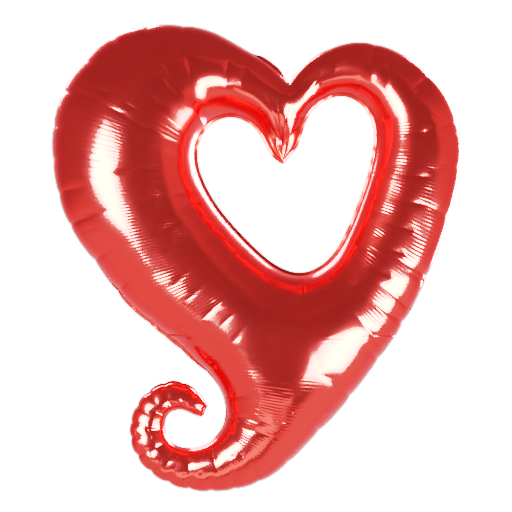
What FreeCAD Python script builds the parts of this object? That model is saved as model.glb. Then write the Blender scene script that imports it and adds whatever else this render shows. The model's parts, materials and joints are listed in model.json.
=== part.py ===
"""Heart-shaped foil balloon with an open heart in its middle and a curled tail.

Two sheets of metallised film are sealed together along an outer seam and round the open heart. The
seams lie in the plane Y = 0, the front faces -Y and +Z is up. A two-ply film valve sits inside the
body at the filling point, on the seam just left of the cleft. Outside it the sheets carry on as a
neck, which folds at the seam and hangs behind the body. The origin is the filling point, on the seam.
Every size is in millimetres.
"""

import FreeCAD, Part
import math
import os

os.makedirs("parts", exist_ok=True)

# Film and seams
FILM = 0.8  # wall of a panel
SEAM_WIDTH = 6.0  # flat sealed strip outside the gas space
PLUMPNESS = 0.9  # depth of the body against that of a round tube

# Valve and neck
PLY = 0.3  # wall of one valve ply
PLY_GAP = 0.05  # from the seam plane to a ply
VALVE_WIDTH = 22.0
VALVE_LENGTH = 90.0
PASSAGE = 0.6  # how far each panel stands off the seam plane where the valve passes
PASSAGE_REACH = 20.0  # half the length of seam that stands off by the whole of PASSAGE
NECK_WIDTH = 34.0
NECK_LENGTH = 58.0
NECK_WALL = 0.5
NECK_CORNER = 7.0
HINGE_CLEARANCE = 2.0  # from the cut edge of the seam strip to the fold line
NECK_FOLD = 108.0  # degrees from standing out of the seam to lying against the back

# How finely the film is divided
CELLS_ACROSS = 8  # from seam to seam
CELLS_PER_STATION = 3  # along the heart
CELLS_PER_TAIL_STATION = 2
EVEN_BELOW = 150.0  # a narrower place than this is divided more evenly across

# The seams, as stations. A station joins a point (x, z) on the heart's inner seam to the point on
# the outer seam that it faces across the body.
LEFT_ARM = [
    ((24, -165), (35, -34)),
    ((11, -155), (0, 0)),
    ((-14, -113), (-46, 28)),
    ((-68, -84), (-97, 56)),
    ((-101, -95), (-182, 70)),
    ((-119, -115), (-272, 50)),
    ((-129, -140), (-339, -13)),
    ((-129, -170), (-373, -97)),
    ((-118, -205), (-373, -183)),
    ((-92, -250), (-345, -278)),
    ((-56, -293), (-297, -346)),
    ((-21, -328), (-240, -414)),
    ((10, -352), (-175, -469)),
]
HEART_FOOT = (55, -366)
RIGHT_ARM = [
    ((100, -348), (218, -470)),
    ((133, -305), (258, -400)),
    ((156, -253), (291, -324)),
    ((175, -200), (317, -242)),
    ((187, -147), (332, -164)),
    ((187, -104), (325, -92)),
    ((169, -67), (291, -31)),
    ((130, -47), (235, 16)),
    ((90, -59), (163, 39)),
    ((62, -91), (105, 26)),
    ((44, -140), (61, -3)),
    ((24, -165), (35, -34)),
]
# A tail station joins the inner side of the curl to its outer side.
TAIL = [
    ((-123, -515), (173, -532)),
    ((-84, -559), (124, -595)),
    ((-72, -606), (68, -654)),
    ((-86, -645), (-2, -716)),
    ((-117, -668), (-89, -741)),
    ((-147, -672), (-168, -731)),
    ((-174, -660), (-223, -692)),
    ((-186, -634), (-242, -644)),
    ((-179, -606), (-234, -602)),
    ((-160, -597), (-205, -568)),
    ((-142, -600), (-164, -555)),
    ((-129, -606), (-131, -568)),
    ((-118, -609), (-111, -594)),
]


def seam_curve(points):
    """A smooth curve through the points, and its parameter at each of them."""
    at = [0.0]
    for a, b in zip(points, points[1:]):
        at.append(at[-1] + math.dist(a, b))
    curve = Part.BSplineCurve()
    curve.interpolate(Points=[FreeCAD.Vector(x, z, 0) for x, z in points], Parameters=at)
    return curve, at


def along(curve, start, end, share):
    """The point (x, z) that is a share of the way from one parameter to another."""
    point = curve.value(start + (end - start) * share)
    return point.x, point.y


def between(a, b, share):
    return a[0] + (b[0] - a[0]) * share, a[1] + (b[1] - a[1]) * share


def shares(width):
    """How the cells divide a width: closer near the seams, and more evenly in a narrow place."""
    even = max(0.0, 1.0 - width / EVEN_BELOW)
    rounded = [(1 - math.cos(math.pi * j / CELLS_ACROSS)) / 2 for j in range(CELLS_ACROSS + 1)]
    return [even * j / CELLS_ACROSS + (1 - even) * r for j, r in enumerate(rounded)]


def across(a, b):
    """A row of points from a to b."""
    return [between(a, b, share) for share in shares(math.dist(a, b))]


def film_rows():
    """Rows of points that cover the gas space: one block round the heart and one down the tail."""
    inner, inner_at = seam_curve([s[0] for s in LEFT_ARM] + [HEART_FOOT] + [s[0] for s in RIGHT_ARM])
    left, left_at = seam_curve([s[1] for s in LEFT_ARM] + [s[0] for s in TAIL])
    right, right_at = seam_curve([s[1] for s in reversed(RIGHT_ARM)] + [s[1] for s in TAIL])
    left_end = len(LEFT_ARM) - 1
    right_start = left_end + 2
    right_end = len(RIGHT_ARM) - 1

    ring = []
    for i in range(left_end):
        for j in range(CELLS_PER_STATION):
            share = j / CELLS_PER_STATION
            facing = along(left, left_at[i], left_at[i + 1], share)
            ring.append(across(along(inner, inner_at[i], inner_at[i + 1], share), facing))
    root = across(LEFT_ARM[-1][1], RIGHT_ARM[0][1])
    for j, facing in enumerate(root):
        share = j / CELLS_ACROSS
        ring.append(across(along(inner, inner_at[left_end], inner_at[right_start], share), facing))
    for i in range(right_end):
        for j in range(1, CELLS_PER_STATION + 1):
            share = j / CELLS_PER_STATION
            facing = along(right, right_at[right_end - i], right_at[right_end - i - 1], share)
            start, end = inner_at[right_start + i], inner_at[right_start + i + 1]
            ring.append(across(along(inner, start, end, share), facing))

    tail = [root]
    for i in range(len(TAIL)):
        for j in range(1, CELLS_PER_TAIL_STATION + 1):
            share = j / CELLS_PER_TAIL_STATION
            a = along(left, left_at[left_end + i], left_at[left_end + i + 1], share)
            b = along(right, right_at[right_end + i], right_at[right_end + i + 1], share)
            tail.append(across(a, b))
    return ring, tail


def flat_film():
    """The film lying flat: its points, and its triangles, all turning the same way."""
    points, index, triangles = [], {}, []

    def number(point):
        key = round(point[0], 3), round(point[1], 3)
        if key not in index:
            index[key] = len(points)
            points.append(point)
        return index[key]

    for rows in film_rows():
        grid = [[number(point) for point in row] for row in rows]
        for upper, lower in zip(grid, grid[1:]):
            for j in range(CELLS_ACROSS):
                a, b, c, d = upper[j], upper[j + 1], lower[j + 1], lower[j]
                if math.dist(points[a], points[c]) < math.dist(points[b], points[d]):
                    triangles += [(a, b, c), (a, c, d)]
                else:
                    triangles += [(a, b, d), (b, c, d)]
    turned = []
    for a, b, c in triangles:
        turned.append((a, b, c) if double_area(points[a], points[b], points[c]) > 0 else (a, c, b))
    return points, turned


def double_area(a, b, c):
    return (b[0] - a[0]) * (c[1] - a[1]) - (b[1] - a[1]) * (c[0] - a[0])


def seam_loops(triangles):
    """The closed runs of points that bound the film, in the direction its triangles turn."""
    edges = set()
    for a, b, c in triangles:
        edges |= {(a, b), (b, c), (c, a)}
    following = {a: b for a, b in edges if (b, a) not in edges}
    loops = []
    while following:
        loop = [next(iter(following))]
        while following[loop[-1]] != loop[0]:
            loop.append(following[loop[-1]])
        for point in loop:
            del following[point]
        loops.append(loop)
    return loops


def heights(points, triangles, fixed):
    """How far gas pressure domes the film at each point. An evenly loaded skin held at the seams
    has a sag u with Laplacian -1, and sqrt(2 u) is then exactly a half circle across a straight tube.
    """
    links = [{} for _ in points]
    load = [0.0] * len(points)
    for triangle in triangles:
        area = double_area(*(points[i] for i in triangle)) / 2
        for k in range(3):
            i, j, m = triangle[k], triangle[(k + 1) % 3], triangle[(k + 2) % 3]
            load[i] += area / 3
            mi = points[i][0] - points[m][0], points[i][1] - points[m][1]
            mj = points[j][0] - points[m][0], points[j][1] - points[m][1]
            weight = (mi[0] * mj[0] + mi[1] * mj[1]) / (4 * area)
            links[i][j] = links[i].get(j, 0.0) + weight
            links[j][i] = links[j].get(i, 0.0) + weight
    free = [i for i in range(len(points)) if i not in fixed]

    def stiffness(u):
        return {i: sum(w * (u[i] - u.get(j, 0.0)) for j, w in links[i].items()) for i in free}

    sag = {i: 0.0 for i in free}
    rest = {i: load[i] for i in free}
    step = dict(rest)
    size = sum(r * r for r in rest.values())
    while size > 1e-9:
        pull = stiffness(step)
        share = size / sum(step[i] * pull[i] for i in free)
        for i in free:
            sag[i] += share * step[i]
            rest[i] -= share * pull[i]
        new_size = sum(r * r for r in rest.values())
        step = {i: rest[i] + new_size / size * step[i] for i in free}
        size = new_size
    return [PLUMPNESS * math.sqrt(2 * max(sag.get(i, 0.0), 0.0)) for i in range(len(points))]


def outward(points, loop, k):
    """The mitred unit offset, away from the film, at one point of a seam loop."""
    here = points[loop[k]]
    before, after = points[loop[k - 1]], points[loop[(k + 1) % len(loop)]]
    sides = []
    for a, b in ((before, here), (here, after)):
        length = math.dist(a, b)
        sides.append(((b[1] - a[1]) / length, (a[0] - b[0]) / length))
    facing = 1 + sides[0][0] * sides[1][0] + sides[0][1] * sides[1][1]
    return (sides[0][0] + sides[1][0]) / facing, (sides[0][1] + sides[1][1]) / facing


def passage(point):
    """How far a panel stands off the seam plane, so that the valve passes between the panels."""
    near = (2 * PASSAGE_REACH - math.hypot(*point)) / PASSAGE_REACH
    return PASSAGE * min(1.0, max(0.0, near))


def front_shell():
    """The front panel as a closed mesh: film with a wall, and its two flat seam strips."""
    points, triangles = flat_film()
    loops = seam_loops(triangles)
    seam = {i for loop in loops for i in loop}
    high = heights(points, triangles, seam)
    stand = [passage(p) if i in seam else 0.0 for i, p in enumerate(points)]
    outer = [FreeCAD.Vector(p[0], -FILM - h - s, p[1]) for p, h, s in zip(points, high, stand)]

    # the film's normal at each point, away from the gas
    normals = [FreeCAD.Vector() for _ in points]
    for a, b, c in triangles:
        face = (outer[b] - outer[a]).cross(outer[c] - outer[a])
        for i in (a, b, c):
            normals[i] += face
    inner = [p - n.normalize() * FILM for p, n in zip(outer, normals)]
    offset = {loop[k]: outward(points, loop, k) for loop in loops for k in range(len(loop))}
    for i, (dx, dz) in offset.items():
        x, z = points[i]
        inner[i] = FreeCAD.Vector(x - FILM * dx, -stand[i], z - FILM * dz)

    count = len(points)
    vertices = outer + inner
    faces = list(triangles)
    faces += [(count + a, count + c, count + b) for a, b, c in triangles]
    for loop in loops:
        cut = {}
        for i in loop:
            cut[i] = len(vertices)
            x = points[i][0] + SEAM_WIDTH * offset[i][0]
            z = points[i][1] + SEAM_WIDTH * offset[i][1]
            vertices += [FreeCAD.Vector(x, -FILM - stand[i], z), FreeCAD.Vector(x, -stand[i], z)]
        for a, b in zip(loop, loop[1:] + loop[:1]):
            for lower, upper in (
                ((a, b), (cut[a], cut[b])),
                ((cut[a], cut[b]), (cut[a] + 1, cut[b] + 1)),
                ((cut[a] + 1, cut[b] + 1), (count + a, count + b)),
            ):
                faces += [(lower[1], lower[0], upper[0]), (lower[1], upper[0], upper[1])]
    return vertices, faces


def solid_from(vertices, faces):
    """A solid with flat triangular faces."""
    shape = Part.Shape()
    shape.makeShapeFromMesh((vertices, faces), 1e-4)
    solid = Part.makeSolid(Part.makeShell(shape.Faces))
    if solid.Volume < 0:
        solid.reverse()
    return solid


def mirrored(vertices, faces):
    """The same mesh on the other side of the seam plane."""
    return [FreeCAD.Vector(v.x, -v.y, v.z) for v in vertices], [(a, c, b) for a, b, c in faces]


def neck_frame():
    """At the filling point: the direction along the seam, and the one out of the body."""
    left, at = seam_curve([s[1] for s in LEFT_ARM])
    tangent = left.tangent(at[1])[0]
    run = FreeCAD.Vector(-tangent.x, 0, -tangent.y).normalize()
    return run, run.cross(FreeCAD.Vector(0, 1, 0))


def placed(shape, run, out):
    """Puts a shape drawn in X (along the seam), Y and Z (out of the body) at the filling point."""
    turn = FreeCAD.Rotation(run, FreeCAD.Vector(0, 1, 0), out, "XZY")
    shape.Placement = FreeCAD.Placement(FreeCAD.Vector(), turn)
    return shape


def valve_ply(side):
    """One ply of the valve: a strip from the cut edge of the seam to deep inside the body."""
    start = PLY_GAP if side > 0 else -PLY_GAP - PLY
    corner = FreeCAD.Vector(-VALVE_WIDTH / 2, start, -VALVE_LENGTH)
    return Part.makeBox(VALVE_WIDTH, PLY, VALVE_LENGTH + SEAM_WIDTH, corner)


def neck_ply(side):
    """One tongue of the neck, standing straight out of the seam, with rounded outer corners."""
    start = PLY_GAP if side > 0 else -PLY_GAP - NECK_WALL
    low = SEAM_WIDTH + HINGE_CLEARANCE + 1.0
    box = Part.makeBox(NECK_WIDTH, NECK_WALL, NECK_LENGTH, FreeCAD.Vector(-NECK_WIDTH / 2, start, low))
    top = low + NECK_LENGTH
    corners = []
    for edge in box.Edges:
        ends = [v.Point for v in edge.Vertexes]
        if all(abs(p.z - top) < 1e-6 for p in ends) and abs(ends[0].x - ends[1].x) < 1e-6:
            corners.append(edge)
    return box.makeFillet(NECK_CORNER, corners)


def main():
    vertices, faces = front_shell()
    run, out = neck_frame()
    parts = {
        "front_panel": solid_from(vertices, faces),
        "back_panel": solid_from(*mirrored(vertices, faces)),
    }
    fold_line = out * (SEAM_WIDTH + HINGE_CLEARANCE)
    for name, side in (("front", -1), ("back", 1)):
        parts[f"valve_{name}_film"] = placed(valve_ply(side), run, out)
        neck = placed(neck_ply(side), run, out)
        neck.rotate(fold_line, run, -NECK_FOLD)
        parts[f"neck_{name}_ply"] = neck
    for name, shape in parts.items():
        shape.exportStep(f"parts/{name}.step")
        box = shape.BoundBox
        print(
            f"{name}: valid {shape.isValid()}, {shape.Volume / 1000:.2f} cm3, "
            f"X {box.XMin:.1f} to {box.XMax:.1f}, Y {box.YMin:.1f} to {box.YMax:.1f}, "
            f"Z {box.ZMin:.1f} to {box.ZMax:.1f}"
        )
    print(f"fold line at {tuple(fold_line)}, along {tuple(run)}, out of the body {tuple(out)}")


main()
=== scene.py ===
"""A heart-shaped foil balloon with a hooked, curled tail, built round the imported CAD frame.

The front and back films are dense meshes over the same outline as the CAD panels. Each is domed as
gas pressure domes a film held at its seams, and then gets the folds, pleats and fine ripples that
slack film takes up. Two plies of foil make the neck, which folds at the seam, and two plies of clear
film make the valve. All of it is in the frame of the CAD: x to the viewer's right, y backwards, z up.
Outlines, folds and other sizes of the balloon are written in mm, and the studio is in metres.
"""

import json
import math

import bpy
import numpy as np
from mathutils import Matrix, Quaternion, Vector
from numpy.linalg import norm


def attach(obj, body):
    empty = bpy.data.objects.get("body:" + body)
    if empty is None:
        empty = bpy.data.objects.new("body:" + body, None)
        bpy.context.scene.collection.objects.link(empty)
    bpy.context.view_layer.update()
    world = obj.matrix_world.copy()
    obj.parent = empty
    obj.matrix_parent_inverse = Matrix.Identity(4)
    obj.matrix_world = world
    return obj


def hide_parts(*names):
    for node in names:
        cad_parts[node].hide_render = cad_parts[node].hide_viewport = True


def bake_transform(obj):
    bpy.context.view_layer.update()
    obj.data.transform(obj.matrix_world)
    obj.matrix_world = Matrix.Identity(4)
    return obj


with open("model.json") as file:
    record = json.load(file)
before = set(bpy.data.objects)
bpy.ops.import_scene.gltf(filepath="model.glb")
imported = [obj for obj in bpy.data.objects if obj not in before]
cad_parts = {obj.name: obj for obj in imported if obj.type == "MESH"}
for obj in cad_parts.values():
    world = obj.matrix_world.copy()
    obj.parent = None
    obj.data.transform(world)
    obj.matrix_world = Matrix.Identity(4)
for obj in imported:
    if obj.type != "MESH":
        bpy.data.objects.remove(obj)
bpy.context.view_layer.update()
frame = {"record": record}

MM = 0.001

# ------------ outline
# A station is (inner seam, outer seam), in mm, each point (x, z).
LEFT_ARM = [
    ((24, -165), (35, -34)), ((11, -155), (0, 0)), ((-14, -113), (-46, 28)),
    ((-68, -84), (-97, 56)), ((-101, -95), (-182, 70)), ((-119, -115), (-272, 50)),
    ((-129, -140), (-339, -13)), ((-129, -170), (-373, -97)), ((-118, -205), (-373, -183)),
    ((-92, -250), (-345, -278)), ((-56, -293), (-297, -346)), ((-21, -328), (-240, -414)),
    ((10, -352), (-175, -469)),
]
HEART_FOOT = (55, -366)
RIGHT_ARM = [
    ((100, -348), (218, -470)), ((133, -305), (258, -400)), ((156, -253), (291, -324)),
    ((175, -200), (317, -242)), ((187, -147), (332, -164)), ((187, -104), (325, -92)),
    ((169, -67), (291, -31)), ((130, -47), (235, 16)), ((90, -59), (163, 39)),
    ((62, -91), (105, 26)), ((44, -140), (61, -3)), ((24, -165), (35, -34)),
]
# A tail station joins the inner side of the curl to its outer side.
TAIL = [
    ((-123, -515), (173, -532)), ((-84, -559), (124, -595)), ((-72, -606), (68, -654)),
    ((-86, -645), (-2, -716)), ((-117, -668), (-89, -741)), ((-147, -672), (-168, -731)),
    ((-174, -660), (-223, -692)), ((-186, -634), (-242, -644)), ((-179, -606), (-234, -602)),
    ((-160, -597), (-205, -568)), ((-142, -600), (-164, -555)), ((-129, -606), (-131, -568)),
    ((-118, -609), (-111, -594)),
]

# ------------ grid
# Cells across the ring and across the tail, and the distance from row to row in each, in mm.
FINE = {"ring_cells": 44, "tail_cells": 120, "ring_row": 1.4, "tail_row": 2.0}
COARSE = {"ring_cells": 11, "tail_cells": 30, "ring_row": 5.6, "tail_row": 8.0}
FINE_STEPS = 150  # most steps of the solver for the sag of the film
COARSE_STEPS = 1500
SAG_LEFT_OVER = 1e-16  # the error that ends the solver sooner


def spline(points):
    """A natural cubic spline through the points, as a function of length of chord, and its knots."""
    p = np.array(points, float)
    at = np.concatenate([[0.0], np.cumsum(norm(np.diff(p, axis=0), axis=1))])
    count, step = len(p), np.diff(at)
    system = np.eye(count)
    load = np.zeros((count, 2))
    for i in range(1, count - 1):
        system[i, i - 1 : i + 2] = step[i - 1], 2 * (step[i - 1] + step[i]), step[i]
        load[i] = 6 * ((p[i + 1] - p[i]) / step[i] - (p[i] - p[i - 1]) / step[i - 1])
    bend = np.linalg.solve(system, load)

    def value(u):
        u = np.asarray(u, float)
        k = np.clip(np.searchsorted(at, u, side="right") - 1, 0, count - 2)
        h = step[k][..., None]
        a = (at[k + 1] - u)[..., None] / h
        b = 1 - a
        curve = ((a * a * a - a) * bend[k] + (b * b * b - b) * bend[k + 1]) * h * h / 6
        return a * p[k] + b * p[k + 1] + curve

    return value, at


def divided(knots, counts):
    """Parameters from the first knot to the last, with so many even steps between each two knots."""
    runs = [np.linspace(a, b, n, endpoint=False) for a, b, n in zip(knots, knots[1:], counts)]
    return np.concatenate(runs + [knots[-1:]])


def row_counts(stations, spacing):
    """How many rows go between each two stations, by the distance between their middles."""
    middle = np.array(stations, float).mean(axis=1)
    gaps = norm(np.diff(middle, axis=0), axis=1)
    return [max(2, round(gap / spacing)) for gap in gaps]


def round_shares(cells):
    """Shares of a width that lie at even angles on a half circle over it."""
    return (1 - np.cos(np.linspace(0, math.pi, cells + 1))) / 2


def rows_between(a, b, cells):
    """A grid of points, each row going from a point of a to the same point of b."""
    share = round_shares(cells)[None, :, None]
    return a[:, None, :] * (1 - share) + b[:, None, :] * share


def film_grid(ring_cells, tail_cells, ring_row, tail_row):
    """The film lying flat: its points, the point numbers of the ring and of the tail in rows, and the
    first and last row of the ring that the tail grows out of."""
    inner, inner_at = spline([s[0] for s in LEFT_ARM] + [HEART_FOOT] + [s[0] for s in RIGHT_ARM])
    left, left_at = spline([s[1] for s in LEFT_ARM] + [s[0] for s in TAIL])
    right, right_at = spline([s[1] for s in reversed(RIGHT_ARM)] + [s[1] for s in TAIL])
    last_left = len(LEFT_ARM) - 1
    last_right = len(RIGHT_ARM) - 1

    # the left arm, from the cleft down to the foot of the open heart
    counts = row_counts(LEFT_ARM, ring_row)
    left_rows = rows_between(
        inner(divided(inner_at[: last_left + 1], counts)),
        left(divided(left_at[: last_left + 1], counts)),
        ring_cells,
    )[:-1]
    # the fan, from the foot of the open heart to the root of the tail
    root = np.array([LEFT_ARM[-1][1], RIGHT_ARM[0][1]], float)
    share = round_shares(tail_cells)[:, None]
    root_points = root[0] * (1 - share) + root[1] * share
    foot_at = np.linspace(inner_at[last_left], inner_at[last_left + 2], tail_cells + 1)
    fan_rows = rows_between(inner(foot_at), root_points, ring_cells)
    # the right arm, back up to the cleft
    counts = row_counts(RIGHT_ARM, ring_row)
    right_rows = rows_between(
        inner(divided(inner_at[last_left + 2 :], counts)),
        right(divided(right_at[: last_right + 1], counts[::-1])[::-1]),
        ring_cells,
    )[1:]
    ring = np.concatenate([left_rows, fan_rows, right_rows])
    # the tail
    counts = row_counts([(root[0], root[1]), *TAIL], tail_row)
    tail = rows_between(
        left(divided(left_at[last_left:], counts)),
        right(divided(right_at[last_right:], counts)),
        tail_cells,
    )

    ring_ids = np.arange(ring.size // 2).reshape(ring.shape[:2])
    ring_ids[-1] = ring_ids[0]
    tail_ids = np.arange(tail.size // 2).reshape(tail.shape[:2]) + (ring_ids[-2, -1] + 1 - tail.shape[1])
    fan_start = len(left_rows)
    tail_ids[0] = ring_ids[fan_start : fan_start + tail_cells + 1, -1]
    points = np.concatenate([ring[:-1].reshape(-1, 2), tail[1:].reshape(-1, 2)])
    fan = (fan_start, fan_start + tail_cells)
    return {"points": points * MM, "ring": ring_ids, "tail": tail_ids, "fan": fan}


def block_quads(ids):
    """The quads between the rows and columns of a block of point numbers."""
    a, b, c, d = ids[:-1, :-1], ids[:-1, 1:], ids[1:, 1:], ids[1:, :-1]
    return np.stack([a, b, c, d], axis=-1).reshape(-1, 4)


def quads(grid):
    """The quads of both blocks, all turning so that their normals face -Y."""
    faces = np.concatenate([block_quads(grid["ring"]), block_quads(grid["tail"])])
    x, z = grid["points"][faces, 0], grid["points"][faces, 1]
    area = (x[:, 2] - x[:, 0]) * (z[:, 3] - z[:, 1]) - (x[:, 3] - x[:, 1]) * (z[:, 2] - z[:, 0])
    return np.where(area[:, None] > 0, faces, faces[:, ::-1])


def seam_ids(grid):
    """The outer seam and the seam round the open heart, each as a closed loop of point numbers."""
    ring, tail = grid["ring"], grid["tail"]
    first, last = grid["fan"]
    outer = [ring[:first, -1], tail[:, 0], tail[-1, 1:-1], tail[::-1, -1], ring[last + 1 : -1, -1]]
    return np.concatenate(outer), ring[:-1, 0]


def sag_equations(grid):
    """The load on each point, its own stiffness, and the springs between points: start, end, weight."""
    points, faces = grid["points"], quads(grid)
    count = len(points)
    triangles = np.concatenate([faces[:, [0, 1, 2]], faces[:, [0, 2, 3]]])
    corner = points[triangles]
    e1, e2 = corner[:, 1] - corner[:, 0], corner[:, 2] - corner[:, 0]
    area = np.maximum(np.abs(e1[:, 0] * e2[:, 1] - e1[:, 1] * e2[:, 0]) / 2, 1e-12)
    load = np.bincount(triangles.ravel(), np.repeat(area / 3, 3), count)
    start, end, weight = [], [], []
    for k in range(3):
        i, j, m = k, (k + 1) % 3, (k + 2) % 3
        dot = ((corner[:, i] - corner[:, m]) * (corner[:, j] - corner[:, m])).sum(axis=1)
        start.append(triangles[:, i])
        end.append(triangles[:, j])
        weight.append(dot / (4 * area))
    start, end, weight = map(np.concatenate, (start, end, weight))
    diagonal = np.bincount(start, weight, count) + np.bincount(end, weight, count)
    return load, diagonal, start, end, weight


def solve_sag(grid, guess, steps):
    """The sag of an evenly loaded skin held at the seams, whose Laplacian is -1: conjugate gradients."""
    load, diagonal, start, end, weight = sag_equations(grid)
    count = len(load)
    free = np.ones(count)
    for loop in seam_ids(grid):
        free[loop] = 0

    def stiffness(u):
        pull = diagonal * u
        pull -= np.bincount(start, weight * u[end], count)
        pull -= np.bincount(end, weight * u[start], count)
        return pull * free

    sag = guess * free
    rest = load * free - stiffness(sag)
    scaled = rest / diagonal
    direction = scaled.copy()
    size = rest @ scaled
    for _ in range(steps):
        pull = stiffness(direction)
        share = size / (direction @ pull)
        sag += share * direction
        rest -= share * pull
        scaled = rest / diagonal
        new_size = rest @ scaled
        if new_size < SAG_LEFT_OVER:
            break
        direction = scaled + new_size / size * direction
        size = new_size
    return sag


def refined(values, coarse, fine):
    """Values at the coarse grid's points carried to the fine grid's, block by block."""
    result = np.zeros(len(fine["points"]))
    runs = {"ring": [0, *coarse["fan"], len(coarse["ring"]) - 1], "tail": [0, len(coarse["tail"]) - 1]}
    targets = {"ring": [0, *fine["fan"], len(fine["ring"]) - 1], "tail": [0, len(fine["tail"]) - 1]}
    for block in ("tail", "ring"):
        source, target = values[coarse[block]], fine[block]
        row = np.interp(np.arange(len(target)), targets[block], runs[block])
        column = np.linspace(0, source.shape[1] - 1, target.shape[1])
        i = np.clip(row.astype(int), 0, source.shape[0] - 2)
        j = np.clip(column.astype(int), 0, source.shape[1] - 2)
        fi, fj = (row - i)[:, None], (column - j)[None, :]
        a, b = source[i][:, j], source[i][:, j + 1]
        c, d = source[i + 1][:, j], source[i + 1][:, j + 1]
        result[target] = (a * (1 - fj) + b * fj) * (1 - fi) + (c * (1 - fj) + d * fj) * fi
    return result


def normals_of(positions, faces):
    """The unit normal at each point, from the quads round it."""
    across = positions[faces[:, 2]] - positions[faces[:, 0]]
    along = positions[faces[:, 3]] - positions[faces[:, 1]]
    face = np.cross(across, along)
    total = np.zeros_like(positions)
    for axis in range(3):
        for k in range(4):
            total[:, axis] += np.bincount(faces[:, k], face[:, axis], len(positions))
    return total / np.maximum(norm(total, axis=1), 1e-12)[:, None]


def smooth_step(x):
    """0 up to 0, 1 from 1 on, and an even S between."""
    x = np.clip(x, 0, 1)
    return x * x * (3 - 2 * x)


# ------------ dome
PLUMPNESS = 0.9  # depth of the body against that of a round tube
TOP_LEAN = 0.40  # how much more the film curves outside than inside, round the top of the heart
LOBE_LEAN = -0.16  # and on the big left lobe, where the film curves less outside
LEAN_FLOOR = -0.22  # height that the lean starts from, and the rise to all of it, in metres
LEAN_RISE = 0.18
LOBE_SIDE = -0.20  # x up to which the lobe's own lean holds, and the width to the other, in metres
LOBE_FADE = 0.08
PROFILE_STEPS = 400

coarse = film_grid(**COARSE)
grid = film_grid(**FINE)
coarse_sag = solve_sag(coarse, np.zeros(len(coarse["points"])), COARSE_STEPS)
sag = solve_sag(grid, refined(coarse_sag, coarse, grid), FINE_STEPS)
flat = grid["points"]
flat_x, flat_z = flat.T
film_quads = quads(grid)


def bent_outline(lean, steepness):
    """Shares of the width and heights across a tube whose film curves more the further out it is."""
    angle = np.linspace(-math.asin(steepness), math.pi / 2, PROFILE_STEPS)
    swept = (np.sin(angle) + steepness) / (1 + steepness)
    share = 2 * swept / (1 - lean + np.sqrt((1 - lean) ** 2 + 4 * lean * swept))
    radius = 1 / ((1 + steepness) * (1 - lean + 2 * lean * share))
    fall = np.sin(angle) * radius
    drop = 0.5 * (fall[1:] + fall[:-1]) * np.diff(angle)
    return share, -np.concatenate([[0], np.cumsum(drop)])


def bent_profile(lean):
    """The section of a bent tube from the inner seam to the outer one: shares of the width, and heights
    with a crest of 1. The outer seam is slack, so the film stands upright there. The inner one is taut,
    and the film slopes away from it, just steeply enough to end at the outer seam."""
    low, high = 0.1, 1.0
    for _ in range(40):
        steepness = (low + high) / 2
        if bent_outline(lean, steepness)[1][-1] > 0:
            high = steepness
        else:
            low = steepness
    share, height = bent_outline(lean, high)
    return share, np.maximum(height / height.max(), 0)


known_profiles = {}


def known_profile(lean):
    """The bent profile for the nearest hundredth of lean, worked out once. A lean below 0 is its mirror."""
    key = round(float(lean), 2)
    if key not in known_profiles:
        share, height = bent_profile(abs(key))
        known_profiles[key] = (share, height) if key >= 0 else (1 - share[::-1], height[::-1])
    return known_profiles[key]


def with_bent_tubes(dome):
    """Leans the round cross-section outwards where the tube bends round the open heart."""
    leaned = dome.copy()
    for row in grid["ring"][:-1]:
        start, end = flat[row[0]], flat[row[-1]]
        middle_x, middle_z = (start + end) / 2
        high = smooth_step((middle_z - LEAN_FLOOR) / LEAN_RISE)
        top = smooth_step((middle_x - LOBE_SIDE) / LOBE_FADE)
        if high > 0:
            share, height = known_profile(high * (LOBE_LEAN + (TOP_LEAN - LOBE_LEAN) * top))
            away = norm(flat[row] - start, axis=1)
            at = np.clip(away / away[-1], 1e-6, 1 - 1e-6)
            leaned[row] *= np.interp(at, share, height) / (2 * np.sqrt(at * (1 - at)))
    return leaned


dome = with_bent_tubes(PLUMPNESS * np.sqrt(2 * np.maximum(sag, 0)))
dome_points = np.stack([flat_x, -dome, flat_z], axis=1)
dome_normals = normals_of(dome_points, film_quads)

# ------------ folds
# Points are (x, z) in mm. A pleat starts at the seam point nearest to the one named, and runs
# inward: (x, z, reach, depth, slant in degrees). Both films share the pleats of a seam.
OUTER_PLEATS = [
    (-150, 74, 60, 2.0, 20), (-213, 70, 90, 2.6, 25), (-275, 52, 95, 3.0, 18),
    (-324, 13, 80, 3.0, 12), (-355, -45, 75, 3.2, 8), (-374, -104, 70, 2.6, 5),
    (-380, -164, 80, 2.4, 0), (-372, -222, 70, 2.6, -4), (-348, -278, 80, 3.0, -8),
    (-305, -340, 75, 2.8, -6), (-262, -390, 70, 3.0, 0), (-205, -440, 50, 2.4, 4),
    (-150, -490, 44, 2.0, 0), (-110, -535, 40, 1.8, 0), (184, 32, 75, 2.2, -4),
    (275, -20, 70, 2.4, 14), (316, -100, 70, 2.4, 6), (326, -175, 60, 2.0, 0),
    (306, -260, 70, 2.4, -6), (272, -365, 90, 3.4, -4), (232, -445, 90, 3.0, 0),
    (190, -510, 80, 2.6, 0), (140, -575, 75, 2.6, 0), (88, -640, 70, 2.8, 0),
    (30, -690, 60, 1.8, 0), (-20, -722, 60, 2.0, 0), (-62, -736, 60, 2.4, 0),
    (-100, -741, 55, 3.2, 0), (-138, -738, 50, 4.4, 0), (-174, -724, 50, 4.6, 0),
    (-204, -706, 46, 4.6, 0), (-226, -680, 44, 4.6, 0), (-240, -650, 42, 4.4, 0),
    (-241, -622, 40, 4.2, 0), (-230, -594, 38, 4.0, 0), (-208, -572, 36, 3.8, 0),
    (-180, -558, 34, 3.4, 0), (-152, -556, 28, 2.8, 0), (-128, -570, 22, 2.0, 0),
]
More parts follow.
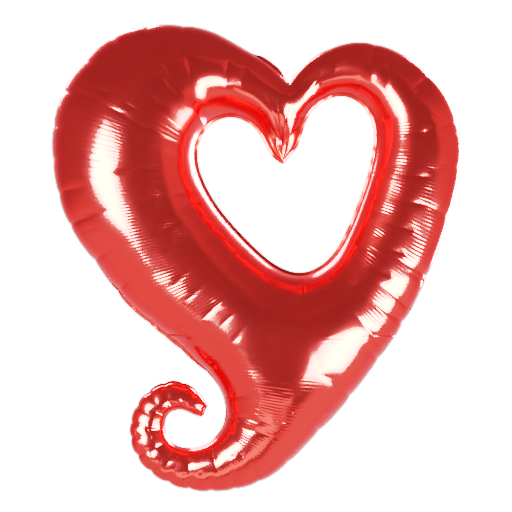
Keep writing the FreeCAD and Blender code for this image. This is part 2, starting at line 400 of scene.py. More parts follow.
INNER_PLEATS = [
    (-20, -108, 80, 2.0, 10), (-60, -86, 60, 1.6, 10), (-100, -93, 60, 1.0, 0),
    (-124, -130, 70, 0.8, -6), (-128, -178, 60, 1.4, 0), (-108, -228, 70, 1.8, 0),
    (-75, -272, 70, 1.4, 6), (-38, -312, 80, 1.2, 6), (5, -348, 90, 1.2, 0),
    (55, -366, 90, 2.2, 0), (98, -350, 80, 2.0, 0), (134, -304, 60, 1.4, 0),
    (160, -245, 60, 1.2, 0), (182, -175, 60, 1.0, 0), (186, -100, 60, 1.4, 0),
    (150, -54, 50, 1.4, 0), (100, -55, 60, 1.8, 0), (62, -92, 70, 2.2, 0),
]
# Creases of the front film alone: (x, z, x, z, depth, width, bow)
FRONT_CREASES = [
    # round the top left of the open heart
    (-201, 6, -143, -64, 3.4, 4.4, 6), (-208, -60, -162, -90, 3.2, 4.2, 3),
    (-232, -105, -178, -129, 3.2, 4.2, 3), (-268, -195, -174, -183, 2.8, 4.2, 5),
    (-234, -139, -206, -139, 2.2, 3.6, 1), (-159, 33, -140, 4, 2.8, 4.2, 1),
    (-182, -24, -152, -62, 2.8, 4.0, 2), (-254, 52, -238, 20, 2.4, 4.0, 0),
    (-290, -44, -262, -60, 2.2, 4.0, 0), (-246, -70, -222, -86, 2.0, 3.6, 0),
    (-142, 16, -130, -58, 4.0, 5, 3), (-66, 10, -76, -56, 3.6, 6, -3),
    (-38, -4, -48, -60, 3.0, 6, -3),
    # down the left arm
    (-222, -246, -186, -226, 1.8, 2.4, 1), (-196, -300, -138, -264, 2.0, 2.6, 2),
    (-180, -330, -130, -296, 1.8, 2.4, 2), (-172, -392, -116, -336, 2.0, 2.6, 2),
    (-146, -414, -100, -372, 1.8, 2.4, 2), (-116, -444, -54, -388, 1.7, 2.8, 3),
    (-84, -452, -44, -420, 1.2, 2.8, 2), (-64, -484, -26, -436, 1.3, 3.0, 2),
    # over the right lobe
    (117, 24, 108, -30, 3.2, 6, 2), (182, 32, 180, -52, 3.6, 5, -3),
    (207, 14, 203, -72, 3.0, 5, 0), (275, -20, 236, -50, 3.2, 6, 2),
    (286, -118, 224, -121, 3.2, 6, 0),
    # down the right arm
    (303, -182, 268, -180, 1.6, 4, 0), (282, -196, 212, -192, 2.4, 5, 0),
    (272, -244, 202, -232, 2.4, 5, 0), (256, -290, 186, -270, 2.4, 5, 0),
    (240, -330, 170, -309, 2.4, 5, 0), (214, -368, 154, -341, 2.4, 5, 0),
    (282, -384, 214, -350, 2.8, 7, -3), (252, -432, 165, -368, 3.6, 8, -5),
    (206, -506, 116, -404, 3.6, 8, -5), (90, -532, 70, -470, 0.9, 6, 1),
    (98, -470, 88, -440, 0.8, 5, 1),
    # across the tail and the curl
    (-72, -578, 0, -568, 1.6, 4, 2), (-62, -610, 30, -625, 1.8, 4, 2),
    (-50, -628, 40, -655, 1.8, 4, 2), (-86, -600, -20, -640, 2.2, 6, -2),
    (-80, -622, -36, -676, 2.2, 6, -2), (-101, -664, -84, -732, 4.0, 6, 0),
    (-140, -672, -141, -736, 4.5, 6, 0), (-162, -668, -192, -716, 4.5, 6, 0),
    (-178, -656, -226, -684, 4.5, 6, 0), (-184, -636, -242, -632, 4.5, 5, 0),
    (-178, -612, -232, -588, 4.5, 5, 0), (-164, -600, -192, -562, 4.0, 5, 0),
    (-146, -600, -158, -556, 3.5, 5, 0),
]
# Folds that fan out from the point of the cleft, where the two lobes crowd together. Each is given by
# its far end: (x, z, depth, width, bow)
CLEFT_POINT = (25, -163)
CLEFT_FOLDS = [
    (-58, -66, 4.0, 5, -5), (-36, -50, 5.0, 6, -4), (-10, -40, 5.5, 6, -2), (14, -34, 6.0, 6, 0),
    (38, -36, 4.4, 6, 1), (60, -44, 2.4, 6, 3), (84, -54, 2.0, 6, 4), (106, -62, 2.0, 5, 5),
]
# Places where the film ripples finely: (x, z, half width, half height, height of the ripples)
FRONT_COMBS = [
    (-244, -100, 20, 50, 0.30), (-238, -190, 24, 60, 0.50), (-213, -262, 28, 50, 0.50),
    (-184, -330, 30, 40, 0.45), (-202, -237, 20, 14, 0.9), (-162, -291, 26, 18, 0.9),
    (-155, -379, 24, 28, 0.8), (-87, -410, 34, 28, 0.55), (-48, -456, 20, 22, 0.5),
    (55, -400, 80, 30, 0.6), (-156, -33, 16, 18, 0.5), (-118, -86, 24, 16, 0.3),
    (-146, -150, 14, 50, 0.25), (240, -113, 20, 12, 0.45), (238, -168, 14, 12, 0.6),
    (225, -216, 20, 9, 0.6), (212, -255, 16, 12, 0.6), (194, -292, 18, 9, 0.6),
    (182, -331, 18, 16, 0.6), (164, -356, 14, 10, 0.6), (152, -374, 20, 9, 0.6),
    (287, -96, 16, 8, 0.45), (286, -180, 14, 8, 0.5), (282, -214, 14, 14, 0.5),
    (276, -250, 14, 22, 0.45), (262, -292, 22, 26, 0.45), (250, -335, 24, 30, 0.35),
    (198, -448, 34, 40, 0.4), (110, -480, 40, 26, 0.35), (30, -620, 50, 44, 1.2),
    (-60, -690, 50, 40, 0.4), (-5, -560, 50, 44, 0.9), (-60, -520, 50, 40, 0.4),
    (-185, -395, 30, 40, 0.5),
]
PLEAT_WIDTH = 9.0  # of the sharp valley of a pleat
PILLOW_SHARE = 0.6  # how much of a fold's depth is the broad valley between two pillows
PILLOW_SPREAD = 3.0  # width of that broad valley against the sharp one
FOLD_RADIUS = 0.9  # of the film in a fold
FOLD_START = 0.45  # width of a valley at its start, and what it gains by its end, against its width
FOLD_GAIN = 0.75
FOLD_SIDE = 12  # how many widths to each side of a fold are worked out
FOLD_BACK = 0.3  # and how much of its length before its start
NOISE_WAVES = 24
CREASE_COUNT = 110  # creases scattered over each film
CREASE_TURN = 0.25  # spread of their turn out of the line across the tube, in radians
CREASE_HALF = (0.08, 0.2)  # half their length, against the width of the tube
CREASE_DEPTH = (0.4, 1.2)  # against the slack of the film
CREASE_WIDTH = (3, 6)
CREASE_BOW = 3  # spread of their bow
FRONT_SLACK = 1.1  # depth of an ordinary scattered crease
BACK_SLACK = 2.6
COMB_SPACING = 6.4  # of the finest ripples
COMB_EVERYWHERE = 0.03  # their height outside the named places, against the slack of the film
COMB_CLOUDS = 120  # spacing of the parts with more or less of them, of their bends, and of their beat
COMB_BENDS = 60
COMB_BEATS = 35
WAVE_SPACING = 110  # of the broad waves of the film
WAVE_HEIGHT = 0.5
WAVE_DEPTH = 40  # how deep the body is where they have all of that height
BULGE = 2.6  # how far the film bulges out beside the outer seam, and how far in that fades
BULGE_FADE = 14
TAUT_WIDTH = 26.0  # the strip beside the inner seam that is too taut to fold


def wave_noise(random, spacing):
    """Smooth noise of about unit height: a sum of waves of about one spacing in every direction."""
    total = np.zeros(len(flat_x))
    for _ in range(NOISE_WAVES):
        turn = random.uniform(0, 2 * math.pi)
        length = spacing * MM * random.uniform(0.7, 1.5)
        phase = random.uniform(0, 2 * math.pi)
        along = flat_x * math.cos(turn) + flat_z * math.sin(turn)
        total += np.sin(2 * math.pi * along / length + phase)
    return total / math.sqrt(NOISE_WAVES / 2)


def turned(direction, angle):
    """A direction in the seam plane turned by an angle."""
    x, z = direction
    return np.array([x * math.cos(angle) - z * math.sin(angle), x * math.sin(angle) + z * math.cos(angle)])


def add_fold(lift, start, end, depth, width, bow, open_start):
    """Adds one fold to lift: a sharp valley from start that widens and dies out at the end. It is at its
    deepest at an open start, as a pleat is at its seam, and else it dies out there too."""
    run = end - start
    length = float(norm(run))
    along = run / length
    u = ((flat_x - start[0]) * along[0] + (flat_z - start[1]) * along[1]) / length
    v = (flat_z - start[1]) * along[0] - (flat_x - start[0]) * along[1]
    near = np.nonzero((u > -FOLD_BACK) & (u < 1) & (np.abs(v) < FOLD_SIDE * width + abs(bow)))[0]
    u, v = u[near], v[near]
    held = np.clip(u, 0, 1)
    v = v - bow * 4 * held * (1 - held)
    fade = smooth_step(1 - u) if open_start else smooth_step(1 - u) * smooth_step(u * 4)
    spread = width * (FOLD_START + FOLD_GAIN * held)
    away = np.sqrt(v * v + (FOLD_RADIUS * MM) ** 2) - FOLD_RADIUS * MM
    sharp = np.exp(-away / spread)
    broad = np.exp(-away / (PILLOW_SPREAD * spread))
    lift[near] -= depth * fade * ((1 - PILLOW_SHARE) * sharp + PILLOW_SHARE * broad)


def turns_left(loop):
    """Whether a loop of seam points runs anticlockwise, seen from the front."""
    x, z = flat[loop].T
    return x @ np.roll(z, -1) - z @ np.roll(x, -1) > 0


def into_film(loop, round_hole):
    """The unit direction from each seam point into the film, in the seam plane."""
    seam = flat[loop]
    tangent = np.roll(seam, -2, axis=0) - np.roll(seam, 2, axis=0)
    tangent /= np.maximum(norm(tangent, axis=1), 1e-9)[:, None]
    side = 1 if turns_left(loop) != round_hole else -1
    return np.stack([-tangent[:, 1], tangent[:, 0]], axis=1) * side


def add_pleats(lift, loop, inward, pleats):
    """The pleats that start at a seam and run into the film."""
    seam = flat[loop]
    for x, z, reach, depth, slant in pleats:
        k = int(np.argmin(np.hypot(seam[:, 0] - x * MM, seam[:, 1] - z * MM)))
        end = seam[k] + turned(inward[k], math.radians(slant)) * reach * MM
        add_fold(lift, seam[k], end, depth * MM, PLEAT_WIDTH * MM, 0, True)


def add_creases(lift, creases):
    """Creases that start and end inside the film."""
    for x0, z0, x1, z1, depth, width, bow in creases:
        start, end = np.array([x0, z0]) * MM, np.array([x1, z1]) * MM
        add_fold(lift, start, end, depth * MM, width * MM, bow * MM, False)


def add_cleft_folds(lift, folds):
    """The deep folds that run out of the point of the cleft."""
    start = np.array(CLEFT_POINT) * MM
    for x, z, depth, width, bow in folds:
        add_fold(lift, start, np.array([x, z]) * MM, depth * MM, width * MM, bow * MM, True)


def places_in_grid():
    """The block, row and column of every point."""
    places = {}
    for block in ("tail", "ring"):
        for row, line in enumerate(grid[block]):
            for column, point in enumerate(line):
                places[point] = (block, row, column)
    return places


def random_creases(random, slack):
    """Short creases scattered over the film, running across the tube."""
    made = []
    for k in random.choice(len(flat_x), CREASE_COUNT):
        block, row, _ = place_of[k]
        line = grid[block][row]
        across = flat[line[-1]] - flat[line[0]]
        width_here = norm(across)
        heading = turned(across / max(width_here, 1e-9), random.normal(0, CREASE_TURN))
        half = random.uniform(*CREASE_HALF) * width_here
        middle = flat[k]
        start, end = (middle - heading * half) / MM, (middle + heading * half) / MM
        if random.random() < 0.5:
            start, end = end, start
        depth = slack * random.uniform(*CREASE_DEPTH)
        width = random.uniform(*CREASE_WIDTH)
        made.append((*start, *end, depth, width, random.normal(0, CREASE_BOW)))
    return made


def distance_along_tube():
    """How far along the tube every point is, in metres, for the ripples that run across it."""
    distance = np.zeros(len(flat_x))
    for block in ("tail", "ring"):
        ids = grid[block]
        path = 0.5 * (flat[ids[:, ids.shape[1] // 2]] + flat[ids[:, -1]])
        run = np.concatenate([[0], np.cumsum(norm(np.diff(path, axis=0), axis=1))])
        distance[ids] = run[:, None]
    return distance


def gap_to_outer():
    """How far each point is from the outer seam, across the tube, in metres."""
    gap = np.full(len(flat_x), 1.0)
    tail, ring = grid["tail"], grid["ring"]
    for column in (0, -1):
        away = norm(flat[tail] - flat[tail[:, [column]]], axis=2)
        gap[tail] = np.minimum(gap[tail], away)
    first, last = grid["fan"]
    for rows in (ring[: first + 1], ring[last:]):
        away = norm(flat[rows] - flat[rows[:, [-1]]], axis=2)
        gap[rows] = np.minimum(gap[rows], away)
    return gap


def gap_to_inner():
    """How far each point is from the seam round the open heart, in metres."""
    gap = np.full(len(flat_x), 1.0)
    rows = grid["ring"]
    gap[rows] = norm(flat[rows] - flat[rows[:, [0]]], axis=2)
    return gap


def combs(random, patches, everywhere):
    """Fine ripples across the tube: strong in the named patches, faint everywhere."""
    strength = np.full(len(flat_x), everywhere)
    strength *= 0.6 + 0.9 * np.clip(wave_noise(random, COMB_CLOUDS), -0.6, 1.2)
    for x, z, half_x, half_z, height in patches:
        gap = ((flat_x / MM - x) / half_x) ** 2 + ((flat_z / MM - z) / half_z) ** 2
        strength += height * np.exp(-gap)
    bend = wave_noise(random, COMB_BENDS) * 0.8
    beat = wave_noise(random, COMB_BEATS)
    phase = 2 * math.pi * along_tube / (COMB_SPACING * MM) + bend
    teeth = 0.5 - np.abs(np.sin(phase / 2))
    return strength * MM * teeth * (0.75 + 0.35 * beat)


place_of = places_in_grid()
along_tube = distance_along_tube()
outer_gap = gap_to_outer()
inner_gap = gap_to_inner()
outer_loop, inner_loop = seam_ids(grid)
outer_inward = into_film(outer_loop, False)
inner_inward = into_film(inner_loop, True)
# Each seam: its loop, the directions into the film, the seed of its waves, and whether it is a hole
SEAMS = ((outer_loop, outer_inward, 5, False), (inner_loop, inner_inward, 6, True))


def film_lift(random, creases, patches, slack):
    """How far the film stands off the smooth dome at each point, along its normal. The slack film has
    the deeper scattered creases and ripples."""
    lift = np.zeros(len(flat_x))
    add_pleats(lift, outer_loop, outer_inward, OUTER_PLEATS)
    add_pleats(lift, inner_loop, inner_inward, INNER_PLEATS)
    add_creases(lift, creases)
    add_cleft_folds(lift, CLEFT_FOLDS)
    add_creases(lift, random_creases(random, slack))
    lift += combs(random, patches, COMB_EVERYWHERE * slack)
    waves = wave_noise(random, WAVE_SPACING) * WAVE_HEIGHT * MM
    lift += waves * np.minimum(1, dome / (WAVE_DEPTH * MM))
    lift += BULGE * MM * np.exp(-outer_gap / (BULGE_FADE * MM))
    return lift * smooth_step(inner_gap / (TAUT_WIDTH * MM))


# ------------ films
FRONT_SEED = 11
BACK_SEED = 23
SEAM_WIDTH = 6.0  # sealed strip outside the gas space
STRIP_SHARES = (0.12, 0.55, 1.0)  # where its rows of points lie, out to the cut edge
SEAM_WAVE = 0.5  # height of the waves of the sealed strip
SEAM_WAVE_COUNT = 14
SEAM_WAVE_LENGTHS = (22, 70)
FILM_GAP = 0.08  # from the seam plane to each film
OUTER_CURL = 72.0  # how far the sealed strips turn back out of the seam plane, in degrees
INNER_CURL = 22.0
FLAT_STRETCHES = [(0, 0, 26, 70), (-190, -455, 110, 50)]  # (x, z, radius, degrees less curl)
SEAM_EDGE = 0.9  # how much of the strip's dull finish the film has just beside it
OUTER_FADE = 9.0  # how far into the film that fades
INNER_FADE = 24.0


def seam_wave(random, loop):
    """How far the seam waves out of its plane, along a loop, in metres."""
    seam = flat[loop]
    run = np.cumsum(norm(seam - np.roll(seam, 1, axis=0), axis=1))
    total = run[-1]
    shortest, longest = SEAM_WAVE_LENGTHS
    wave = np.zeros(len(loop))
    for _ in range(SEAM_WAVE_COUNT):
        cycles = round(total / random.uniform(shortest * MM, longest * MM))
        wave += np.sin(2 * math.pi * cycles * run / total + random.uniform(0, 6.28))
    return wave / math.sqrt(SEAM_WAVE_COUNT / 2) * SEAM_WAVE * MM


def seam_curl(loop, round_hole):
    """How far the sealed strip turns back at each point of a loop, in radians."""
    if round_hole:
        return np.full(len(loop), math.radians(INNER_CURL))
    curl = np.full(len(loop), OUTER_CURL)
    x, z = flat[loop].T / MM
    for x0, z0, radius, less in FLAT_STRETCHES:
        curl -= less * np.exp(-(((x - x0) ** 2 + (z - z0) ** 2) / radius**2) ** 2)
    return np.radians(curl)


def strip_row(edge, share, side, inward, curl, wave):
    """One row of points of a sealed strip, at a share of its width out from the edge of the film. Both
    films' strips curl backwards together: the back film is mirrored later, so side turns its strip."""
    reach = SEAM_WIDTH * MM * share
    row = edge.copy()
    row[:, 0] -= inward[:, 0] * reach * np.cos(curl)
    row[:, 2] -= inward[:, 1] * reach * np.cos(curl)
    row[:, 1] = -FILM_GAP * MM - side * (wave * share + reach * np.sin(curl))
    return row


def smooth_piece(name, positions, faces, material):
    """A smooth mesh of quads, put in the scene."""
    mesh = bpy.data.meshes.new(name)
    mesh.vertices.add(len(positions))
    mesh.vertices.foreach_set("co", positions.astype(np.float32).ravel())
    mesh.loops.add(faces.size)
    mesh.loops.foreach_set("vertex_index", faces.astype(np.int32).ravel())
    mesh.polygons.add(len(faces))
    mesh.polygons.foreach_set("loop_start", np.arange(0, faces.size, 4, dtype=np.int32))
    mesh.update(calc_edges=True)
    mesh.validate()
    mesh.polygons.foreach_set("use_smooth", np.ones(len(mesh.polygons), bool))
    mesh.materials.append(material)
    piece = bpy.data.objects.new(name, mesh)
    bpy.context.scene.collection.objects.link(piece)
    return piece


def film_piece(name, side, lift, material):
    """One film: its dome and the sealed strip along both seams. side is -1 in front, 1 behind. The film
    is built in front, and the back one is then mirrored in the seam plane."""
    film = dome_points + dome_normals * lift[:, None]
    near_outer = np.exp(-outer_gap / (OUTER_FADE * MM))
    near_inner = np.exp(-inner_gap / (INNER_FADE * MM))
    positions = [film]
    faces = [film_quads]
    # the seam value: 1 on the sealed strips, which gives them a duller finish and their painted shade; the
    # film beside the seams gets only some of the duller finish
    seam_share = [SEAM_EDGE * np.maximum(near_outer, near_inner)]
    count = len(film)
    for loop, inward, seed, round_hole in SEAMS:
        curl = seam_curl(loop, round_hole)
        wave = seam_wave(np.random.default_rng(seed), loop)
        previous = loop
        for share in STRIP_SHARES:
            ids = count + np.arange(len(loop))
            quad = np.stack([previous, np.roll(previous, -1), np.roll(ids, -1), ids], axis=-1)
            positions.append(strip_row(film[loop], share, side, inward, curl, wave))
            faces.append(quad if turns_left(loop) != round_hole else quad[:, ::-1])
            seam_share.append(np.ones(len(loop)))
            previous = ids
            count += len(loop)
    positions = np.concatenate(positions)
    faces = np.concatenate(faces)
    if side > 0:
        positions[:, 1] *= -1
        faces = faces[:, ::-1]
    piece = smooth_piece(name, positions, faces, material)
    seam = piece.data.attributes.new("seam", "FLOAT", "POINT")
    seam.data.foreach_set("value", np.concatenate(seam_share).astype(np.float32))
    return piece


# ------------ materials
RED = (0.62, 0.0145, 0.0085)
CLOUD_SHADE = 0.9  # the darker clouds in the film against the rest
SEAM_PAINTED_SHADE = 0.35  # painted shade: the sealed strip's red against the film's, darker to stand in for dark reflections along the seams
SEAM_DULLNESS = 0.25  # how much rougher it is
STRIP_ONLY = SEAM_EDGE + 0.02  # the seam value from which the strip's painted shade is laid on the colour
FOIL_ROUGHNESS = (0.07, 0.13)


def shader_material(name):
    """A new material, its node tree and its shader."""
    material = bpy.data.materials.new(name)
    material.use_nodes = True
    tree = material.node_tree
    return material, tree, tree.nodes["Principled BSDF"]


def set_inputs(node, values):
    """Sets the named inputs of a node."""
    for name, value in values.items():
        node.inputs[name].default_value = value


def object_noise(tree, scale, detail):
    """Noise that is fixed to the object."""
    where = tree.nodes.new("ShaderNodeTexCoord")
    noise = tree.nodes.new("ShaderNodeTexNoise")
    set_inputs(noise, {"Scale": scale, "Detail": detail})
    tree.links.new(where.outputs["Object"], noise.inputs["Vector"])
    return noise.outputs["Fac"]


def ramp(tree, source, low, high, to_low, to_high, shape="LINEAR"):
    """A value carried over from the range low to high to the range to_low to to_high."""
    node = tree.nodes.new("ShaderNodeMapRange")
    node.interpolation_type = shape
    set_inputs(node, {"From Min": low, "From Max": high, "To Min": to_low, "To Max": to_high})
    tree.links.new(source, node.inputs["Value"])
    return node.outputs["Result"]


def add_bump(tree, shader, height, strength, distance):
    """Fine relief from a height, on top of the shape that is modelled."""
    bump = tree.nodes.new("ShaderNodeBump")
    set_inputs(bump, {"Strength": strength, "Distance": distance})
    tree.links.new(height, bump.inputs["Height"])
    tree.links.new(bump.outputs["Normal"], shader.inputs["Normal"])


def foil_colour(tree, seam):
    """Red with faint darker clouds, and painted shade on the sealed strips: darker red for dark reflections
    along the seams.
    """
    clouds = tree.nodes.new("ShaderNodeValToRGB")
    dark, light = clouds.color_ramp.elements
    dark.position = 0.3
    dark.color = (*[c * CLOUD_SHADE for c in RED], 1)
    light.position = 0.7
    light.color = (*RED, 1)
    tree.links.new(object_noise(tree, 9.0, 3.0), clouds.inputs["Fac"])
    # painted shade: the sealed strips get a darker red that stands in for dark reflections along the seams
    strip = tree.nodes.new("ShaderNodeMix")
    strip.data_type = "RGBA"
    strip.inputs["B"].default_value = (*[c * SEAM_PAINTED_SHADE for c in RED], 1)
    tree.links.new(ramp(tree, seam, STRIP_ONLY, 1, 0, 1), strip.inputs["Factor"])
    tree.links.new(clouds.outputs["Color"], strip.inputs["A"])
    return strip.outputs["Result"]


def foil_roughness(tree, seam):
    """Nearly a mirror, a little hazy in places, and duller towards the seams."""
    haze = ramp(tree, object_noise(tree, 60.0, 5.0), 0, 1, *FOIL_ROUGHNESS)
    duller = tree.nodes.new("ShaderNodeMath")
    duller.operation = "MULTIPLY_ADD"
    duller.inputs[1].default_value = SEAM_DULLNESS
    tree.links.new(seam, duller.inputs[0])
    tree.links.new(haze, duller.inputs[2])
    return duller.outputs["Value"]


def foil_material(name):
    """Mirror-like metallised film under a clear lacquer, with a fine crinkle from handling."""
    material, tree, shader = shader_material(name)
    set_inputs(shader, {"Metallic": 1.0, "Specular Tint": (1.0, 0.22, 0.18, 1)})
    set_inputs(shader, {"Coat Weight": 0.3, "Coat Roughness": 0.16})
    attribute = tree.nodes.new("ShaderNodeAttribute")
    attribute.attribute_name = "seam"
    seam = attribute.outputs["Fac"]
    tree.links.new(foil_colour(tree, seam), shader.inputs["Base Color"])
    tree.links.new(foil_roughness(tree, seam), shader.inputs["Roughness"])
    add_bump(tree, shader, object_noise(tree, 220.0, 2.0), 0.10, 0.0004)
    return material


def clear_film_material(name):
    """Soft clear film, slightly cloudy."""
    material, tree, shader = shader_material(name)
    set_inputs(shader, {"Base Color": (0.9, 0.92, 0.92, 1), "Roughness": 0.25, "Alpha": 0.4})
    add_bump(tree, shader, object_noise(tree, 150.0, 2.0), 0.3, 0.0005)
    return material


front_foil = foil_material("front_foil")
back_foil = foil_material("back_foil")
clear_film = clear_film_material("valve_film")

front_lift = film_lift(np.random.default_rng(FRONT_SEED), FRONT_CREASES, FRONT_COMBS, FRONT_SLACK)
back_lift = film_lift(np.random.default_rng(BACK_SEED), [], [], BACK_SLACK)
front_film = film_piece("front_film", -1, front_lift, front_foil)
back_film = film_piece("back_film", 1, back_lift, back_foil)
for piece, node, slot in (
    (front_film, "front_panel", "front_foil"),
    (back_film, "back_panel", "back_foil"),
):
    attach(piece, "body")
    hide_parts(node)


# ------------ neck and valve
FOLD_JOINT = frame["record"]["behaviour"]["joints"][0]
HINGE = np.array(FOLD_JOINT["pos_m"], float)  # the line that the neck folds along, outside the seam
ALONG = np.array(FOLD_JOINT["axis"], float)
OUTWARD = HINGE / norm(HINGE)
BACKWARD = np.array([0.0, 1.0, 0.0])
NECK_WIDTH = 34.0
NECK_LENGTH = 58.0
NECK_CORNER = 7.0
NECK_ROOT = 1.0  # where the neck starts, out from the gas space
NECK_FOLD = 108.0  # degrees that the neck hangs back at rest
FOLD_BEND = 1.4  # radius of the fold
NECK_GAP = 0.12  # from each ply to the middle between them
NECK_BELLY = 1.6  # how much further each ply stands off in the middle
NECK_CALM = 0.12  # share of the neck's length at its root that is flat
NECK_RIPPLE = 0.35  # height of the ripples across the neck, of the finer ones along it, and of its sway
NECK_CRINKLE = 0.25
NECK_SWAY = 0.9
VALVE_WIDTH = 22.0
VALVE_LENGTH = 90.0
VALVE_ROOT = 4.0  # how far the valve reaches out past the edge of the gas space
VALVE_GAP = 0.03
VALVE_BELLY = 0.5
VALVE_SWAY = 1.6
VALVE_TWIST = 0.5


def neck_path():
    """The neck's middle line as (outward, backward) in mm, with the outward normal at each point."""
    hinge = norm(HINGE) / MM
    turn = math.radians(NECK_FOLD)
    trim = FOLD_BEND * math.tan(turn / 2)
    places, normals = [], []
    for out in np.linspace(NECK_ROOT, hinge - trim, 8, endpoint=False):
        places.append((out, 0.0))
        normals.append((0.0, -1.0))
    for angle in np.linspace(0, turn, 12, endpoint=False):
        places.append((hinge - trim + FOLD_BEND * math.sin(angle), FOLD_BEND * (1 - math.cos(angle))))
        normals.append((math.sin(angle), -math.cos(angle)))
    for away in np.linspace(trim, NECK_LENGTH, 60):
        places.append((hinge + away * math.cos(turn), away * math.sin(turn)))
        normals.append((math.sin(turn), -math.cos(turn)))
    return np.array(places), np.array(normals)


def sheet_piece(name, positions, material):
    """A smooth sheet from a grid of positions, rows by columns."""
    rows, columns = positions.shape[:2]
    faces = block_quads(np.arange(rows * columns).reshape(rows, columns))
    return smooth_piece(name, positions.reshape(-1, 3) * MM, faces, material)


def neck_ply(name, side, material):
    """One tongue of the neck: foil that folds at the seam and hangs behind, slightly puffed and creased."""
    places, normals = neck_path()
    reach = np.concatenate([[0], np.cumsum(norm(np.diff(places, axis=0), axis=1))])
    share = reach / reach[-1]
    across = np.linspace(-1, 1, 41)
    left = np.maximum(reach - (reach[-1] - NECK_CORNER), 0) / NECK_CORNER
    half = NECK_WIDTH / 2 - NECK_CORNER * (1 - np.sqrt(np.maximum(1 - left**2, 0)))
    u, v = np.meshgrid(share, across, indexing="ij")
    puffed = np.clip((u - NECK_CALM) / (1 - NECK_CALM), 0, 1)
    belly = NECK_BELLY * (1 - v**2) ** 2 * np.sin(math.pi * puffed**0.8)
    ripple = NECK_RIPPLE * np.sin(9 * v + 5 * u) * np.sin(math.pi * u)
    ripple += NECK_CRINKLE * np.sin(23 * u + 3 * v) * (1 - v**2)
    stand_off = side * (NECK_GAP + belly) + ripple * np.clip((u - NECK_CALM) / 0.2, 0, 1)
    wave = NECK_SWAY * np.sin(4.2 * v + 0.6) * u**2
    middle = places[:, 0, None] * OUTWARD + places[:, 1, None] * BACKWARD
    normal = normals[:, 0, None] * OUTWARD + normals[:, 1, None] * BACKWARD
    positions = middle[:, None, :] + normal[:, None, :] * (stand_off + wave)[..., None]
    positions = positions + ALONG * (half[:, None] * v)[..., None]
    return sheet_piece(name, positions, material)


def valve_film(name, side, material):
    """One ply of the valve: clear film that hangs limp from the seam into the gas space."""
    inward = np.linspace(-VALVE_ROOT, VALVE_LENGTH, 70)
    across = np.linspace(-1, 1, 21)
    u, v = np.meshgrid(inward, across, indexing="ij")
    depth = np.clip(u / VALVE_LENGTH, 0, 1)
    sway = VALVE_SWAY * np.sin(0.06 * u) * depth + VALVE_TWIST * np.sin(3.0 * v + 0.05 * u) * depth
    stand_off = side * (VALVE_GAP + VALVE_BELLY * depth * (1 - v**2)) + sway
    positions = -OUTWARD * u[..., None] + ALONG * (v * VALVE_WIDTH / 2)[..., None]
    positions = positions + BACKWARD * stand_off[..., None]
    return sheet_piece(name, positions, material)


for side, word, foil in ((1, "front", front_foil), (-1, "back", back_foil)):
    neck = neck_ply(f"neck_{word}_film", side, foil)
    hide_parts(f"neck_{word}_ply")
    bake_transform(neck)
    valve = valve_film(f"valve_{word}_sheet", -side, clear_film)
    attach(valve, "body")
    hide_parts(f"valve_{word}_film")

# ------------ studio
CAMERA_AT = (-0.0225, -4.0, -0.3317)
CAMERA_LENS = 160.7  # mm
CAMERA_SENSOR = 36.0
MIDDLE = Vector((-0.02, 0.0, -0.33))  # what the lights face
LIGHT_SPREAD = 110  # degrees
# Soft lights: (name, azimuth, elevation, distance, width, height, roll, radiance). Azimuth 0 is the
# camera's side and 90 the viewer's right.
LIGHTS = [
    ("left_softbox", -41, -2, 2.4, 1.2, 1.45, -28, 90),
    ("right_softbox", 52, -25, 2.9, 2.6, 1.1, -10, 90),
    ("low_fill", -14, -47, 2.6, 2.2, 0.6, -10, 3.0),
    ("back_softbox", 152, 10, 2.6, 1.1, 1.5, 20, 60),
    ("back_fill", -156, 28, 2.6, 1.2, 0.8, -16, 30),
]
FLOOR_Z = -1.6
FLOOR_RADIUS = 2.6
FLOOR_SIDES = 96
PAPER_WHITE = 6.0  # radiance that prints as white, and that the camera sees behind the object
SHOULDER = ((0.45, 0.45), (0.8, 0.68), (1.4, 0.75), (2.6, 0.80), (4.2, 0.84))  # (radiance, print)
# The room that the film reflects, by the direction of each part from the object. Each ramp goes from
# one value of x, y, z or nearness to the dark side to another: (from, to, light there, light there).
DARK_SIDE = (0.15, -0.97, -0.18)  # where the room is darkest: behind the camera
LIT_AWAY_FROM_DARK = (0.56, 0.76, 1.0, 0.0)
LIT_BELOW_CEILING = (0.25, 0.75, 1.0, 0.1)
RIGHT_WALL = (-0.2, 0.5, 0.18, 0.85)
FLOOR_GLOW = (-0.6, -0.15, 1.7, 0.0)
BACK_WALL = (0.55, 1.0, 0.0, 0.9)
EVERYWHERE = (-0.6, 0.7, 0.62, 0.56)


def studio_camera():
    """The camera, level with the middle of the object and straight in front of it."""
    data = bpy.data.cameras.new("camera")
    data.lens = CAMERA_LENS
    data.sensor_width = CAMERA_SENSOR
    camera = bpy.data.objects.new("camera", data)
    camera.location = CAMERA_AT
    camera.rotation_euler = (math.radians(90), 0, 0)
    bpy.context.scene.collection.objects.link(camera)
    bpy.context.scene.camera = camera


def soft_light(name, azimuth, elevation, distance, width, height, roll, radiance):
    """A rectangular soft light that faces the object."""
    data = bpy.data.lights.new(name, "AREA")
    data.shape = "RECTANGLE"
    data.size = width
    data.size_y = height
    data.energy = radiance * math.pi * width * height
    data.spread = math.radians(LIGHT_SPREAD)
    light = bpy.data.objects.new(name, data)
    a, e = math.radians(azimuth), math.radians(elevation)
    towards = Vector((math.sin(a) * math.cos(e), -math.cos(a) * math.cos(e), math.sin(e)))
    light.location = MIDDLE + towards * distance
    light.rotation_mode = "QUATERNION"
    light.rotation_quaternion = towards.to_track_quat("Z", "Y") @ Quaternion((0, 0, 1), math.radians(roll))
    light.visible_camera = False
    bpy.context.scene.collection.objects.link(light)


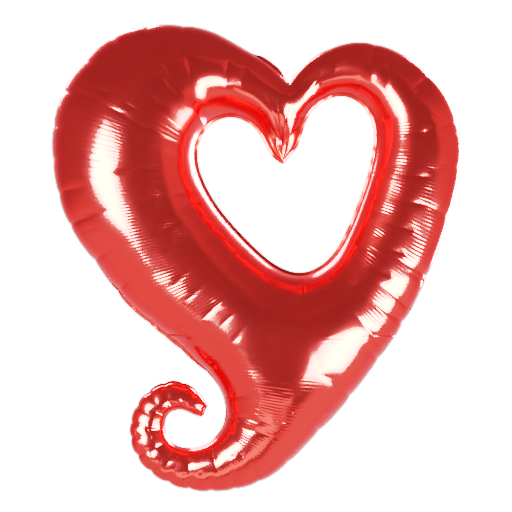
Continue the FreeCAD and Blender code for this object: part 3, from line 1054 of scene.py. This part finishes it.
def floor_disc():
    """A plain pale floor, well below the balloon."""
    turns = [2 * math.pi * k / FLOOR_SIDES for k in range(FLOOR_SIDES)]
    rim = [(FLOOR_RADIUS * math.cos(turn), FLOOR_RADIUS * math.sin(turn), FLOOR_Z) for turn in turns]
    mesh = bpy.data.meshes.new("floor")
    mesh.from_pydata(rim, [], [list(range(FLOOR_SIDES))])
    material, _, shader = shader_material("floor_paint")
    set_inputs(shader, {"Base Color": (0.82, 0.82, 0.81, 1), "Roughness": 0.7})
    mesh.materials.append(material)
    disc = bpy.data.objects.new("floor", mesh)
    bpy.context.scene.collection.objects.link(disc)
    disc.visible_glossy = False


def combined(tree, operation, first, second):
    """Two values added or multiplied."""
    node = tree.nodes.new("ShaderNodeMath")
    node.operation = operation
    tree.links.new(first, node.inputs[0])
    tree.links.new(second, node.inputs[1])
    return node.outputs["Value"]


def room_light(tree):
    """The light of the room by direction: low everywhere, and more from the right, below and behind,
    but not from the dark side and little from the ceiling."""
    where = tree.nodes.new("ShaderNodeTexCoord")
    parts = tree.nodes.new("ShaderNodeSeparateXYZ")
    tree.links.new(where.outputs["Generated"], parts.inputs["Vector"])
    facing = tree.nodes.new("ShaderNodeVectorMath")
    facing.operation = "DOT_PRODUCT"
    facing.inputs[1].default_value = Vector(DARK_SIDE).normalized()
    tree.links.new(where.outputs["Generated"], facing.inputs[0])

    def smooth_ramp(source, numbers):
        return ramp(tree, source, *numbers, shape="SMOOTHSTEP")

    x, y, z = (parts.outputs[axis] for axis in "XYZ")
    away = smooth_ramp(facing.outputs["Value"], LIT_AWAY_FROM_DARK)
    lit = combined(tree, "MULTIPLY", away, smooth_ramp(z, LIT_BELOW_CEILING))
    sides = combined(tree, "ADD", smooth_ramp(x, RIGHT_WALL), smooth_ramp(z, FLOOR_GLOW))
    walls = combined(tree, "ADD", sides, smooth_ramp(y, BACK_WALL))
    glow = combined(tree, "MULTIPLY", lit, walls)
    return combined(tree, "ADD", smooth_ramp(z, EVERYWHERE), glow)


def studio_world():
    """White paper behind the object for the camera, and the room for everything else."""
    world = bpy.data.worlds.new("studio")
    bpy.context.scene.world = world
    world.use_nodes = True
    tree = world.node_tree
    background = tree.nodes["Background"]
    background.inputs["Color"].default_value = (1, 1, 1, 1)
    path = tree.nodes.new("ShaderNodeLightPath")
    pick = tree.nodes.new("ShaderNodeMix")
    pick.inputs["B"].default_value = PAPER_WHITE
    tree.links.new(path.outputs["Is Camera Ray"], pick.inputs["Factor"])
    tree.links.new(room_light(tree), pick.inputs["A"])
    tree.links.new(pick.outputs["Result"], background.inputs["Strength"])


def print_tones():
    """A soft shoulder, as a photographic print has: bright reds stay below white."""
    view = bpy.context.scene.view_settings
    view.view_transform = "Standard"
    view.use_curve_mapping = True
    tones = view.curve_mapping
    tones.clip_max_x = PAPER_WHITE
    tones.clip_max_y = 1.0
    tones.use_clip = True
    all_colours = tones.curves[3]
    all_colours.points[0].location = (0, 0)
    all_colours.points[-1].location = (PAPER_WHITE, 1.0)
    for x, y in SHOULDER:
        all_colours.points.new(x, y)
    for point in all_colours.points:
        point.handle_type = "VECTOR"
    tones.update()


studio_camera()
for light in LIGHTS:
    soft_light(*light)
floor_disc()
studio_world()
print_tones()
